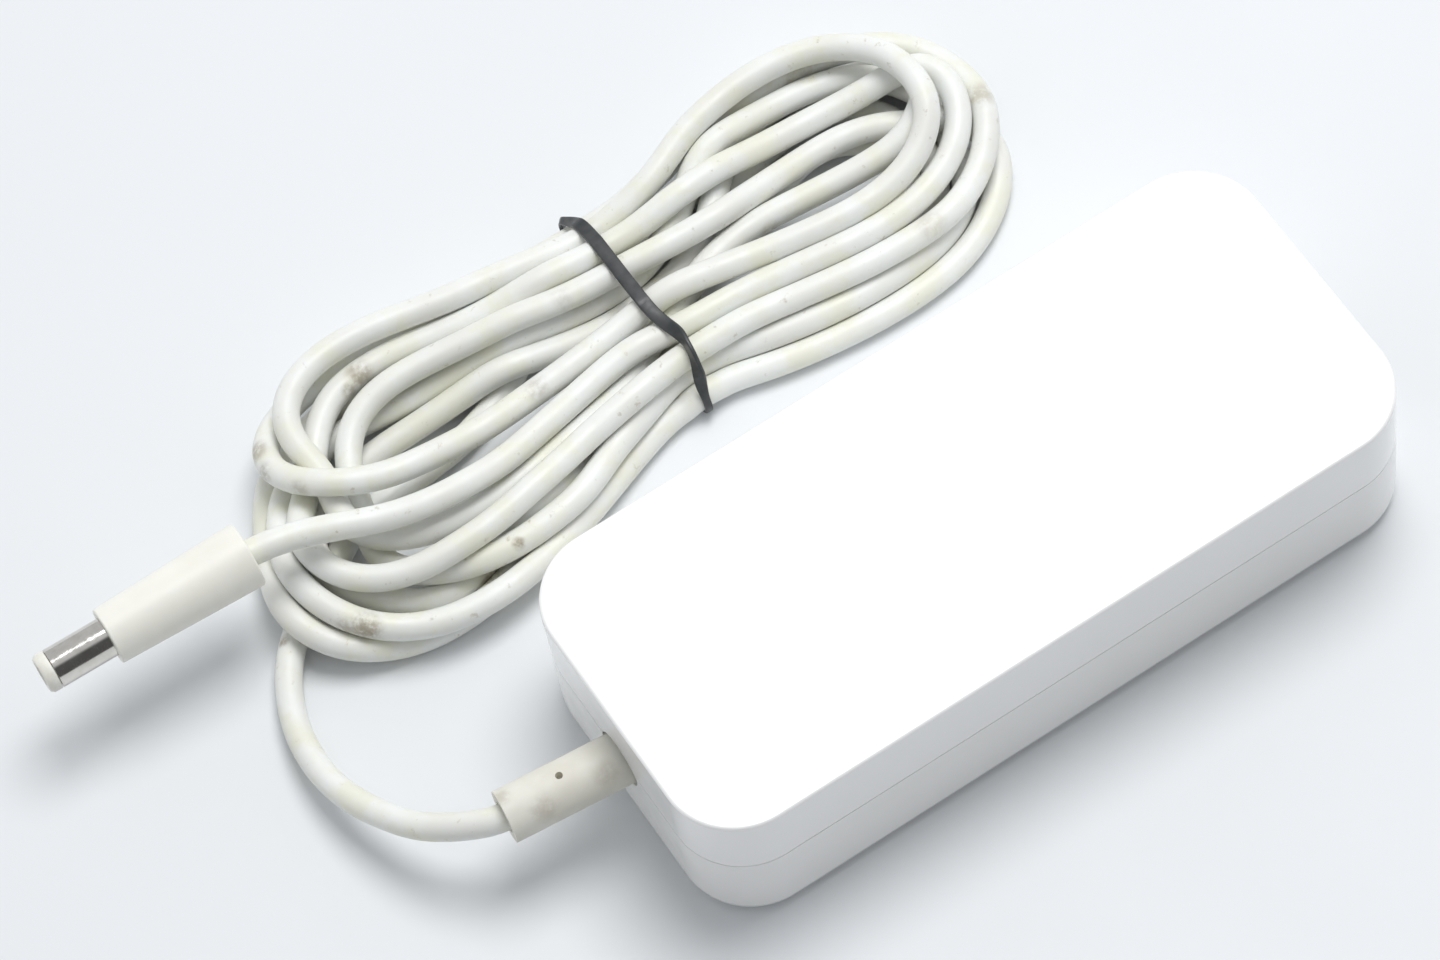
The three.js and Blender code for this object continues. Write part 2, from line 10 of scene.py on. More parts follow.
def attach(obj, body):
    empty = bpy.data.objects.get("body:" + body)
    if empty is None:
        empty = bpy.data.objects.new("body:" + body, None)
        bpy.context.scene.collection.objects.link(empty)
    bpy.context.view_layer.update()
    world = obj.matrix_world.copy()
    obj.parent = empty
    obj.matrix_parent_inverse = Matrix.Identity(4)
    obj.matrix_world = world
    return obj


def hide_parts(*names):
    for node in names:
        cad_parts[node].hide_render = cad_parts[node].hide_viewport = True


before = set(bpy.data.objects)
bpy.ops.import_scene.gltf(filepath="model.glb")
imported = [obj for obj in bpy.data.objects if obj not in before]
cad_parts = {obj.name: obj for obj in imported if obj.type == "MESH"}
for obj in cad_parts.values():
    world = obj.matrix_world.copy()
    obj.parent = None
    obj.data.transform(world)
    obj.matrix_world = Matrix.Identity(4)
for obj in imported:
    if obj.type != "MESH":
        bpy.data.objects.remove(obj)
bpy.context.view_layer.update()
MM = 0.001

# ---------------------------------------------------------------------------------------- camera
# A long lens looks down from beyond the lead's end of the casing, over the whole adapter and its
# hank. Its sides are given as two axes, right and up, and the third one follows from them.
camera_data = bpy.data.cameras.new("camera")
camera_data.lens = 150
camera_data.sensor_width = 36
camera_data.clip_end = 10
camera = bpy.data.objects.new("camera", camera_data)
bpy.context.scene.collection.objects.link(camera)
camera_right = Vector((0.8363, -0.5396, -0.0973))
camera_up = Vector((0.5183, 0.7201, 0.4613))
camera_place = Vector((-0.1608, -0.3123, 0.6974))
camera_turn = Matrix((camera_right, camera_up, camera_right.cross(camera_up))).transposed()
camera.matrix_world = Matrix.Translation(camera_place) @ camera_turn.to_4x4()
bpy.context.scene.camera = camera

# ----------------------------------------------------------------------------------- output lead
# The lead is a soft white sheath, 3.7 mm thick, moulded into its sleeve at one end and the plug at
# the other. It runs down to the table, is wound round in eight flat turns that the band pinches
# together at the waist, and its last run climbs over the hank to the plug.
LEAD = 3.7
LEAD_RADIUS = LEAD / 2
SLEEVE_ROOT = Vector((-54.0, 0.0, 13.598))
SLEEVE_LEAN = math.radians(5.5)
SLEEVE_WAY = Vector((-math.cos(SLEEVE_LEAN), math.sin(SLEEVE_LEAN), 0))
SLEEVE_LENGTH = 16.4
SLEEVE_FACE = SLEEVE_ROOT + SLEEVE_WAY * SLEEVE_LENGTH
PLUG_ROOT = Vector((-78.2245, 51.1719, 16.5))
PLUG_YAW = math.radians(1.2)
PLUG_WAY = Vector((-math.cos(PLUG_YAW), math.sin(PLUG_YAW), 0))
HANK_TOP = 11.15
WAIST = -15.0
WAIST_SIDES = (43.5, 73.1)

# (x, y, share of the drop from the sleeve's height to the table)
lead_in = [
    (-74.5, 3.7, 0.91), (-77.3, 6.2, 0.78), (-79.9, 9.4, 0.63), (-81.9, 13.3, 0.5),
    (-83.7, 17.6, 0.37), (-84.6, 21.1, 0.28), (-85.1, 25.1, 0.19), (-84.8, 30.8, 0.1),
    (-83.8, 35, 0.04), (-82.5, 38.2, 0.01), (-80.9, 41.3, 0)]
first_run = [
    (-77.8, 45, 1.9), (-71.5, 49.5, 1.9), (-63, 53, 1.9), (-54, 55.2, 1.9), (-45, 57, 1.9),
    (-36, 60.5, 1.9), (-28, 65, 1.9), (-21, 68.6, 2.1)]
# Where each turn passes the waist: (y, z) on the far side, then on the near side.
far_side = [
    (69.6, 2.55), (66.2, 2.55), (60.2, 2.55), (63.6, 6),
    (63.2, 2.55), (70.6, 6), (73, 2.55), (67.2, 6)]
near_side = [
    (57, 2.55), (50.4, 2.55), (47, 2.55), (43.6, 2.55),
    (53.7, 2.55), (56, 6), (46.8, 6), (51.4, 6)]
# The loops towards the casing's inlet end, one list of (x, y, z) to a turn.
right_loops = [
    [(-2, 68.5, 1.9), (10, 68.5, 1.9), (20, 67, 1.9), (26, 62, 1.9), (26.5, 55, 1.9), (22, 50, 1.9),
     (12, 48.5, 1.9), (0, 51, 1.9)],
    [(-2, 67, 1.9), (12, 70.5, 1.9), (23, 70.5, 1.9), (30, 64.5, 1.9), (31, 56, 1.9), (27, 49, 1.9),
     (20, 45.3, 1.9), (10, 44.5, 1.9), (-2, 46.5, 2)],
    [(-3, 64, 2.2), (10, 72.5, 2), (22, 74.5, 2), (31, 71, 2), (34.5, 64.5, 2.2), (35.4, 57.5, 2.6),
     (33.8, 51, 3.2), (30, 47, 3.4), (25, 44.3, 3.4), (12, 43.9, 3.9), (0, 44.9, 4.2)],
    [(-2.2, 63, 6.5), (6.1, 63.5, 6), (14.5, 64.2, 5.2), (22.7, 64.4, 4.6), (29.5, 62.8, 4.2),
     (34.5, 60.5, 3.4), (37.3, 56.5, 2.2), (36.6, 51.2, 1.9), (33.2, 46.9, 1.9), (27.5, 43.7, 1.9),
     (20, 42.2, 1.9), (8, 42.2, 2.2), (-4, 42.8, 2.6)],
    [(-4, 66.4, 4), (5, 70, 4.6), (14, 72.5, 5), (22, 72.8, 5.2), (29, 70.5, 5), (33.3, 65.5, 4.8),
     (32.8, 60.6, 4.8), (28, 58.1, 5.2), (21.7, 57.9, 6), (11.1, 58.9, 6), (3.6, 59.7, 5.5),
     (-4.5, 58.4, 4.6)],
    [(-5, 71.6, 8.2), (0, 73.4, 8.6), (5, 75.2, 9), (10.5, 76.6, 9.3), (16, 77, 9.5),
     (21.5, 76.4, 9.5), (27, 74, 9.5), (31.4, 69, 9.5), (32.8, 62.8, 9.5), (31, 57, 9.5),
     (26.1, 53.2, 9.3), (17.6, 51.4, 9), (7.3, 52.8, 8.3), (-3, 55, 7)],
    [(-5, 73.8, 4.2), (4, 75.8, 5), (14, 77.0, 5.6), (23.5, 76.4, 6), (31, 74, 6.2),
     (36.5, 69.5, 5.8), (38.6, 63, 5.2), (37.6, 56, 4.8), (34.9, 50.9, 4.6), (30.7, 47.2, 4.8),
     (25.6, 44.9, 5.2), (14.1, 44.3, 5.5), (2.6, 46.1, 5.5), (-4.5, 47.1, 5.8)],
    [(-7, 67, 6.2), (1.4, 68.2, 6.3), (9.7, 68.5, 6), (18.8, 68.2, 5.8), (27, 66.7, 5.5),
     (33, 64.8, 5.9), (35.6, 60.4, 6.8), (34.2, 55, 7.3), (29.6, 51, 7.5), (22.5, 48.3, 7.7),
     (14.6, 47.7, 7.7), (4.7, 49, 7.2), (-5, 50.8, 6.6)]]
# The loops towards the plug, between one turn and the next.
left_loops = [
    [(-24, 52, 2), (-35, 44.5, 1.9), (-45, 39, 1.9), (-55.7, 35.2, 1.9), (-66, 35.4, 2.2),
     (-74, 39.4, 4.2), (-76.6, 46, 5.2), (-74.4, 53, 4.3), (-69.5, 60, 3), (-63, 66, 2.2),
     (-56, 70, 1.9), (-44, 70.2, 1.9), (-28, 67.6, 1.9)],
    [(-22, 48.5, 2.2), (-32, 44, 2.3), (-41.4, 40.6, 2.6), (-51.2, 38.2, 3), (-60, 38.8, 3.3),
     (-67, 43, 3.2), (-70, 49, 3), (-68.5, 55, 2.6), (-63.5, 59.6, 2.2), (-56, 61.6, 2.2),
     (-46, 61.6, 2.4), (-28, 61, 2.5)],
    [(-21, 44.8, 4.8), (-29, 42.8, 5.4), (-38, 39.4, 5.2), (-48, 38, 5.2), (-57.5, 40.3, 4.6),
     (-63, 45.6, 4), (-63.5, 52, 3.6), (-61.5, 58, 4.6), (-59.2, 62, 6), (-55.6, 65.2, 6.8),
     (-49.4, 66.9, 7.4), (-35.4, 65.5, 7.2), (-24, 64.2, 6.6)],
    [(-24.7, 42.8, 2.9), (-35.3, 39.2, 3.6), (-44.5, 35.8, 4.4), (-53.2, 33.4, 5), (-62, 34.0, 5.2),
     (-69, 37.9, 6.2), (-73, 44.2, 7), (-73.6, 51.3, 6.2), (-70.8, 57.6, 4.5), (-66.5, 63.2, 3.8),
     (-58.5, 66.4, 3.4), (-48.6, 65.4, 3.2), (-31, 63.8, 3)],
    [(-20.5, 48.8, 4.2), (-28.3, 46.8, 5.4), (-38.6, 45.2, 6.2), (-48.6, 44.3, 6.3), (-58, 45.8, 6),
     (-63.2, 49.8, 5.2), (-63.8, 55.2, 5), (-64, 60.2, 6.2), (-64.9, 65.2, 8), (-63.2, 70.3, 9),
     (-58, 73.8, 9.4), (-49.7, 74.6, 9.5), (-35.8, 72.1, 9), (-24, 70.7, 7.7)],
    [(-22.8, 55.2, 7), (-32.9, 54, 8), (-42.9, 52.9, 9), (-50.3, 53.3, 9.3), (-57.6, 54.3, 9.5),
     (-64.3, 58.2, 9.3), (-68, 64, 8.2), (-66.5, 69.3, 6.5), (-60, 73.2, 5.2), (-50, 74.4, 4.6),
     (-36, 73.4, 4.4), (-24, 73, 3.6)],
    [(-21.7, 45.2, 6.4), (-30.3, 43.7, 6.8), (-41.6, 40.8, 6.9), (-51.7, 39.4, 7.1),
     (-60, 40.2, 7.3), (-67.6, 43.8, 7.4), (-71, 50, 7), (-69.5, 56.5, 5.8), (-64.5, 62, 5.4),
     (-61, 66.8, 5.6), (-56, 70.4, 6), (-47.5, 71.1, 6.4), (-33.9, 68.6, 6.3), (-24, 67.5, 6)]]
last_run = [(-19.1, 51.5, 6.4), (-25.8, 50.6, 7.2), (-36.5, 48.4, 8.6), (-43.5, 46.8, 9.6)]
# (x, y, share of the rise from the hank's top to the plug's height)
lead_out = [
    (-50, 46.2, 0), (-52.8, 46.3, 0.05), (-55.7, 46.5, 0.14), (-59.9, 47.1, 0.3), (-63.7, 48.2, 0.45),
    (-68.5, 49.7, 0.66), (-72.7, 50.7, 0.84), (-76, 51.1, 0.96), (-78.2, 51.2, 1)]


def lead_points():
    """Every point the lead is led through, in order, and the turn each one belongs to."""
    points = []
    turns = []

    def lead_through(places, turn):
        points.extend(places)
        turns.extend([turn] * len(places))

    drop = SLEEVE_FACE.z - LEAD_RADIUS
    inside_mouth = 0.9
    lead_through([SLEEVE_FACE - SLEEVE_WAY * inside_mouth, SLEEVE_FACE + SLEEVE_WAY], 0)
    lead_through([(x, y, LEAD_RADIUS + share * drop) for x, y, share in lead_in], 0)
    lead_through(first_run, 0)
    for turn, right_loop in enumerate(right_loops):
        lead_through([(WAIST, *far_side[turn])], turn + 1)
        lead_through(right_loop, turn + 1)
        lead_through([(WAIST, *near_side[turn])], turn + 1)
        if turn < len(left_loops):
            lead_through(left_loops[turn], turn + 1)
    lead_through(last_run, len(right_loops))
    rise = PLUG_ROOT.z - HANK_TOP
    lead_through([(x, y, HANK_TOP + share * rise) for x, y, share in lead_out], len(right_loops))
    return np.array(points, float), np.array(turns, float)


def spline_through(points, step):
    """A smooth line through the points, at even steps, and where each sample lies in the list.

    Between two points it is a Catmull-Rom curve whose knots are spaced by the root of the distance.
    """
    padded = np.vstack([2 * points[0] - points[1], points, 2 * points[-1] - points[-2]])
    samples = []
    marks = []
    pieces = 24
    for i in range(1, len(points)):
        a, b, c, d = padded[i - 1:i + 3]
        ta = 0.0
        tb = ta + np.linalg.norm(b - a) ** 0.5
        tc = tb + np.linalg.norm(c - b) ** 0.5
        td = tc + np.linalg.norm(d - c) ** 0.5
        t = np.linspace(tb, tc, pieces, endpoint=False)[:, None]
        ab = (tb - t) / (tb - ta) * a + (t - ta) / (tb - ta) * b
        bc = (tc - t) / (tc - tb) * b + (t - tb) / (tc - tb) * c
        cd = (td - t) / (td - tc) * c + (t - tc) / (td - tc) * d
        abc = (tc - t) / (tc - ta) * ab + (t - ta) / (tc - ta) * bc
        bcd = (td - t) / (td - tb) * bc + (t - tb) / (td - tb) * cd
        samples.append((tc - t) / (tc - tb) * abc + (t - tb) / (tc - tb) * bcd)
        marks.extend(i - 1 + np.arange(pieces) / pieces)
    samples = np.vstack(samples + [points[-1:]])
    marks = np.array(marks + [len(points) - 1.0])
    walked = np.r_[0, np.cumsum(np.linalg.norm(np.diff(samples, axis=0), axis=1))]
    places = np.linspace(0, walked[-1], int(round(walked[-1] / step)) + 1)
    line = np.stack([np.interp(places, walked, samples[:, axis]) for axis in range(3)], 1)
    return line, np.interp(places, walked, marks)


def evened(values, passes, held):
    """Each value drawn to the mean of its neighbours, a few times over; held ones keep their own."""
    kept = values[held].copy()
    for _ in range(passes):
        values[1:-1] = 0.25 * values[:-2] + 0.5 * values[1:-1] + 0.25 * values[2:]
        values[held] = kept
    return values


def settled(line, held, turn):
    """The wound lead after its turns have pushed each other apart to a diameter, and lie on the table.

    A later turn lies on an earlier one and gives way less. The band keeps the waist together.
    """
    start = line.copy()
    from_waist = line[:, 0] - WAIST
    band_room, band_reach, pinch_reach, overdo = 0.7, 2.5, 3.5, 1.7
    table = LEAD_RADIUS + band_room * np.exp(-(from_waist / band_reach) ** 4)
    give = 1.0 - 0.75 * turn / turn.max()
    pinch = np.exp(-(from_waist / pinch_reach) ** 2)
    samples_beside, search_reach, evening = 5, 1.25 * LEAD, 12
    rounds, last_rounds, search_every, even_every = 90, 12, 5, 6
    for done in range(rounds):
        if done % search_every == 0:
            squares = (line * line).sum(1)
            apart = squares[:, None] + squares[None] - 2 * line @ line.T
            first, second = np.nonzero(np.triu(apart < search_reach ** 2, samples_beside))
        way = line[first] - line[second]
        distance = np.linalg.norm(way, axis=1) + 1e-9
        close = distance < LEAD
        one, other = first[close], second[close]
        push = way[close] / distance[close, None] * (LEAD - distance[close])[:, None]
        share = (give[one] / (give[one] + give[other]))[:, None]
        move = np.zeros_like(line)
        count = np.zeros(len(line))
        np.add.at(move, one, push * share)
        np.add.at(move, other, -push * (1 - share))
        np.add.at(count, one, 1)
        np.add.at(count, other, 1)
        move /= np.maximum(count, 1)[:, None] * 0.5 + 0.5
        move[:, 1] -= np.minimum(line[:, 1] - WAIST_SIDES[0], 0) * pinch
        move[:, 1] -= np.maximum(line[:, 1] - WAIST_SIDES[1], 0) * pinch
        move[held] = 0
        line = line + evened(overdo * move, evening, held)
        line[:, 2] = np.maximum(line[:, 2], table)
        line[held] = start[held]
        if done % even_every == even_every - 1 and done < rounds - last_rounds:
            line = start + evened(line - start, evening, held)
    return line


LEAD_STEP = 1.0
WOUND_EVENING, ENDS_EVENING = 14, 6
points, turn_of_point = lead_points()
lead_line, marks = spline_through(points, LEAD_STEP)
lead_ends = (marks < len(lead_in) + 0.5) | (marks > len(points) - len(lead_out) + 0.5)
lead_line = evened(lead_line, WOUND_EVENING, lead_ends)
lead_line = settled(lead_line, lead_ends, np.interp(marks, np.arange(len(points)), turn_of_point))
lead_line[lead_ends] = evened(lead_line.copy(), ENDS_EVENING, ~lead_ends)[lead_ends]
lead_line[0] = points[0]
lead_line[-1] = points[-1]


def noise(tree, place, size_mm, detail=3.0, rough=0.55, stretch=None):
    """Noise whose patches are about size_mm across, drawn out along an axis if stretch is given."""
    if stretch is not None:
        mapping = tree.nodes.new("ShaderNodeMapping")
        mapping.inputs["Scale"].default_value = stretch
        tree.links.new(place, mapping.inputs["Vector"])
        place = mapping.outputs["Vector"]
    node = tree.nodes.new("ShaderNodeTexNoise")
    node.inputs["Scale"].default_value = 1000.0 / size_mm
    node.inputs["Detail"].default_value = detail
    node.inputs["Roughness"].default_value = rough
    tree.links.new(place, node.inputs["Vector"])
    return node.outputs["Fac"]


def ranged(tree, value, low, high, to_low, to_high):
    """The value's low..high spread over to_low..to_high, smoothly."""
    node = tree.nodes.new("ShaderNodeMapRange")
    node.interpolation_type = "SMOOTHSTEP"
    sockets = ("From Min", "From Max", "To Min", "To Max")
    for socket, number in zip(sockets, (low, high, to_low, to_high)):
        node.inputs[socket].default_value = number
    tree.links.new(value, node.inputs["Value"])
    return node.outputs["Result"]


def blended(tree, share, below, above):
    """One colour turning into another by a share; either colour may be a node's output."""
    node = tree.nodes.new("ShaderNodeMix")
    node.data_type = "RGBA"
    tree.links.new(share, node.inputs["Factor"])
    for socket, colour in ((node.inputs[6], below), (node.inputs[7], above)):
        if isinstance(colour, tuple):
            socket.default_value = (*colour, 1.0)
        else:
            tree.links.new(colour, socket)
    return node.outputs[2]


def bumped(tree, shader, height, depth_mm, strength):
    """A bump of that depth on the shader."""
    node = tree.nodes.new("ShaderNodeBump")
    node.inputs["Strength"].default_value = strength
    node.inputs["Distance"].default_value = depth_mm * MM
    tree.links.new(height, node.inputs["Height"])
    tree.links.new(node.outputs["Normal"], shader.inputs["Normal"])


def plastic(name, colour, deep, patch_mm, gloss, grain_mm, grain_depth, **fixed):
    """Moulded plastic or rubber: slow changes of tone, uneven gloss and a fine grain."""
    material = bpy.data.materials.new(name)
    material.use_nodes = True
    tree = material.node_tree
    shader = tree.nodes["Principled BSDF"]
    place = tree.nodes.new("ShaderNodeTexCoord").outputs["Object"]
    tone = ranged(tree, noise(tree, place, patch_mm), 0.3, 0.7, 0.0, 1.0)
    tree.links.new(blended(tree, tone, colour, deep), shader.inputs["Base Color"])
    sheen = ranged(tree, noise(tree, place, patch_mm * 0.4, 5.0), 0.3, 0.7, gloss[0], gloss[1])
    tree.links.new(sheen, shader.inputs["Roughness"])
    bumped(tree, shader, noise(tree, place, grain_mm, 4.0), grain_depth, 0.6)
    for socket, value in fixed.items():
        shader.inputs[socket.replace("_", " ")].default_value = value
    return material


def stained(material, stains, colour):
    """Grubby marks on a finish: (x, y, z, radius, strength) in millimetres, with ragged edges."""
    tree = material.node_tree
    shader = tree.nodes["Principled BSDF"]
    place = tree.nodes["Texture Coordinate"].outputs["Object"]
    ragged = noise(tree, place, 1.6, 5.0, 0.65)
    dirt = None
    for x, y, z, radius, strength in stains:
        gap = tree.nodes.new("ShaderNodeVectorMath")
        gap.operation = "DISTANCE"
        gap.inputs[1].default_value = (x * MM, y * MM, z * MM)
        tree.links.new(place, gap.inputs[0])
        spot = ranged(tree, gap.outputs["Value"], radius * 0.25 * MM, radius * MM, strength, 0.0)
        if dirt is None:
            dirt = spot
        else:
            most = tree.nodes.new("ShaderNodeMath")
            most.operation = "MAXIMUM"
            tree.links.new(dirt, most.inputs[0])
            tree.links.new(spot, most.inputs[1])
            dirt = most.outputs[0]
    broken = tree.nodes.new("ShaderNodeMath")
    broken.operation = "MULTIPLY"
    tree.links.new(dirt, broken.inputs[0])
    tree.links.new(ranged(tree, ragged, 0.30, 0.62, 0.0, 1.0), broken.inputs[1])
    clean = shader.inputs["Base Color"].links[0].from_socket
    tree.links.new(blended(tree, broken.outputs[0], clean, colour), shader.inputs["Base Color"])


lead_curve = bpy.data.curves.new("output_lead", "CURVE")
lead_curve.dimensions = "3D"
lead_curve.bevel_depth = LEAD_RADIUS * MM
lead_curve.bevel_resolution = 7
lead_curve.use_fill_caps = True
lead_spline = lead_curve.splines.new("POLY")
lead_spline.points.add(len(lead_line) - 1)
lead_spline.points.foreach_set("co", np.c_[lead_line * MM, np.ones(len(lead_line))].ravel())
lead_spline.use_smooth = True
lead = bpy.data.objects.new("output_lead", lead_curve)
bpy.context.scene.collection.objects.link(lead)
# (x, y, z, radius, strength) of the grubby marks it has picked up
lead_stains = [
    (-70.5, 37.4, 7.8, 3.4, 0.75), (-72.5, 39.0, 7.6, 2.2, 0.5), (-51.4, 70.2, 7.6, 2.6, 0.7),
    (-53.6, 69.0, 7.4, 1.6, 0.6), (-68.9, 67.5, 9.7, 2.6, 0.6), (-70.1, 63.5, 10.2, 2.4, 0.55),
    (38.9, 56.9, 7.8, 2.8, 0.5), (-79.4, 44.7, 3.4, 1.3, 0.8), (-47.4, 36.3, 8.0, 1.3, 0.8),
    (-51.9, 36.3, 2.5, 2.6, 0.75), (-33.6, 53.5, 9.8, 2.6, 0.35), (-67.4, 57.7, 12.0, 2.0, 0.35),
    (21.8, 75.3, 6.0, 4.0, 0.3), (22.5, 44.4, 8.0, 3.0, 0.25), (5.4, 57.7, 5.5, 2.0, 0.35),
    (-23.9, 63.5, 8.8, 2.4, 0.4), (-40.0, 50.0, 12.2, 2.6, 0.35), (8.0, 69.5, 8.0, 2.4, 0.3)]
sheath = plastic(
    "lead sheath", (0.84, 0.855, 0.83), (0.79, 0.79, 0.745), patch_mm=9.0, gloss=(0.38, 0.52),
    grain_mm=0.9, grain_depth=0.02, Subsurface_Weight=0.12, Subsurface_Radius=(1.0, 0.9, 0.7),
    Subsurface_Scale=0.0012)
GRIME = (0.27, 0.215, 0.13)
tree = sheath.node_tree
place = tree.nodes["Texture Coordinate"].outputs["Object"]
# patches yellowed by handling, then fine specks, then the larger marks
worn = ranged(tree, noise(tree, place, 8.0, 5.0, 0.62), 0.45, 0.64, 0.0, 0.72)
clean = tree.nodes["Principled BSDF"].inputs["Base Color"].links[0].from_socket
handled = blended(tree, worn, clean, (0.785, 0.785, 0.655))
specks = ranged(tree, noise(tree, place, 1.8, 5.0, 0.65), 0.62, 0.74, 0.0, 0.5)
speckled = blended(tree, specks, handled, (0.42, 0.36, 0.25))
tree.links.new(speckled, tree.nodes["Principled BSDF"].inputs["Base Color"])
stained(sheath, lead_stains, GRIME)
lead_curve.materials.append(sheath)
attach(lead, "root")
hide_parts("cord_lead_in", "cord_hank", "cord_lead_out")

# ----------------------------------------------------------------------------------- rubber band
# A flat dark elastic band, 1.9 mm wide, is stretched once round the hank's waist. It bears on the
# outermost turns only, passes under the hank against the table, has rolled edge-on near its top
# corner, and draws narrower where it turns down at the hank's two sides.
BAND_WIDTH = 1.9
BAND_THICK = 0.6
BAND_BEHIND_WAIST = 0.4
# where it has rolled, as (y, z), how far round and over what reach
ROLL_PLACE = (46.6, 8.6)
ROLL_TURN, ROLL_REACH = math.radians(86), 3.8
# where it turns down at its near and far ends, over what reach, and how much narrower it is there
END_PLACES = (41.6, 75.4)
END_REACHES = (1.6, 2.4)
END_NARROWING = 0.42
# how it leans and is drawn aside at the far end, and how it bows aside near the rolled stretch
FAR_LEAN, FAR_SWAY = math.radians(45), 1.1
BOW_PLACE, BOW_REACH, BOW = 47.8, 4.5, 1.3


def waist_outline(clearance, count):
    """The tight outline round the lead's passes at the waist, as (y, z) points at even steps."""
    slice_half, directions = 0.8, 720
    waist = lead_line[np.abs(lead_line[:, 0] - WAIST) < slice_half][:, 1:]
    outline = []
    for angle in np.linspace(0, 2 * math.pi, directions, endpoint=False):
        way = np.array([math.cos(angle), math.sin(angle)])
        outermost = waist[np.argmax(waist @ way)]
        outline.append(outermost + (LEAD_RADIUS + clearance) * way)
    outline = np.array(outline + outline[:1])
    walked = np.r_[0, np.cumsum(np.linalg.norm(np.diff(outline, axis=0), axis=1))]
    places = np.linspace(0, walked[-1], count, endpoint=False)
    return np.stack([np.interp(places, walked, outline[:, axis]) for axis in range(2)], 1)


def swell(place, middle, reach):
    """One at the middle, falling smoothly to nothing over the reach and a little more."""
    return math.exp(-((place - middle) / reach) ** 2)


def nothing_selected():
    """Selects nothing, so that the next operator acts on one piece only."""
    bpy.ops.object.select_all(action="DESELECT")


def pick(piece):
    """Selects one piece alone and makes it the active one."""
    nothing_selected()
    bpy.context.view_layer.objects.active = piece
    piece.select_set(True)


def make_solid(piece, thickness):
    """Gives a sheet its thickness, shared between its two faces."""
    wall = piece.modifiers.new("thickness", "SOLIDIFY")
    wall.thickness = thickness * MM
    wall.offset = 0
    wall.use_even_offset = True
    bpy.ops.object.modifier_apply(modifier=wall.name)


def ease_edges(piece, width, segments=3, angle=35):
    """Rounds the piece's sharp edges a little and shades it by its curves."""
    pick(piece)
    easing = piece.modifiers.new("eased edges", "BEVEL")
    easing.limit_method = "ANGLE"
    easing.angle_limit = math.radians(angle)
    easing.width = width * MM
    easing.segments = segments
    bpy.ops.object.modifier_apply(modifier=easing.name)
    shade(piece, angle)


def shade(piece, angle):
    """Smooth shading across curves, with flat faces kept flat."""
    pick(piece)
    bpy.ops.object.shade_smooth_by_angle(angle=math.radians(angle))
    weight = piece.modifiers.new("flat faces", "WEIGHTED_NORMAL")
    weight.keep_sharp = True
    bpy.ops.object.modifier_apply(modifier=weight.name)


band_steps = 260
band_ring = waist_outline(BAND_THICK / 2, band_steps)
nothing_selected()
bpy.ops.mesh.primitive_circle_add(vertices=band_steps, radius=BAND_WIDTH * MM)
band = bpy.context.object
band.name = band.data.name = "elastic_band"
bpy.ops.object.mode_set(mode="EDIT")
bpy.ops.mesh.select_all(action="SELECT")
bpy.ops.mesh.extrude_region_move(TRANSFORM_OT_translate={"value": (BAND_WIDTH * MM, 0, 0)})
bpy.ops.object.mode_set(mode="OBJECT")
band_along = np.roll(band_ring, -1, axis=0) - np.roll(band_ring, 1, axis=0)
band_along /= np.linalg.norm(band_along, axis=1)[:, None]
for step, (y, z) in enumerate(band_ring):
    outward = Vector((0, band_along[step, 1], -band_along[step, 0]))
    off_roll = math.hypot(y - ROLL_PLACE[0], z - ROLL_PLACE[1])
    near_end = swell(y, END_PLACES[0], END_REACHES[0])
    far_end = swell(y, END_PLACES[1], END_REACHES[1])
    roll = ROLL_TURN * swell(off_roll, 0, ROLL_REACH) + FAR_LEAN * far_end
    across = Vector((1, 0, 0)) * math.cos(roll) + outward * math.sin(roll)
    lift = BAND_WIDTH / 2 * math.sin(roll)
    sway = WAIST - BAND_BEHIND_WAIST + BOW * swell(y, BOW_PLACE, BOW_REACH) - FAR_SWAY * far_end
    middle = Vector((sway, y, z)) + outward * lift
    half = BAND_WIDTH / 2 * (1 - END_NARROWING * max(far_end, near_end)) * across
    band.data.vertices[step].co = (middle - half) * MM
    band.data.vertices[step + band_steps].co = (middle + half) * MM
pick(band)
bpy.ops.object.mode_set(mode="EDIT")
bpy.ops.mesh.select_all(action="SELECT")
bpy.ops.mesh.normals_make_consistent(inside=False)
bpy.ops.object.mode_set(mode="OBJECT")
make_solid(band, BAND_THICK)
ease_edges(band, 0.18, segments=2, angle=50)
band.data.materials.append(plastic(
    "band rubber", (0.030, 0.034, 0.036), (0.055, 0.058, 0.06), patch_mm=2.5, gloss=(0.3, 0.5),
    grain_mm=0.5, grain_depth=0.01))
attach(band, "root")
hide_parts("rubber_band")

# --------------------------------------------------------------------------------- strain relief
# A grey-beige sleeve is moulded round the lead where it leaves the casing. Its flange is caught
# inside the end wall, it leans towards the hank, and a moulding pin has left a hole in its top.


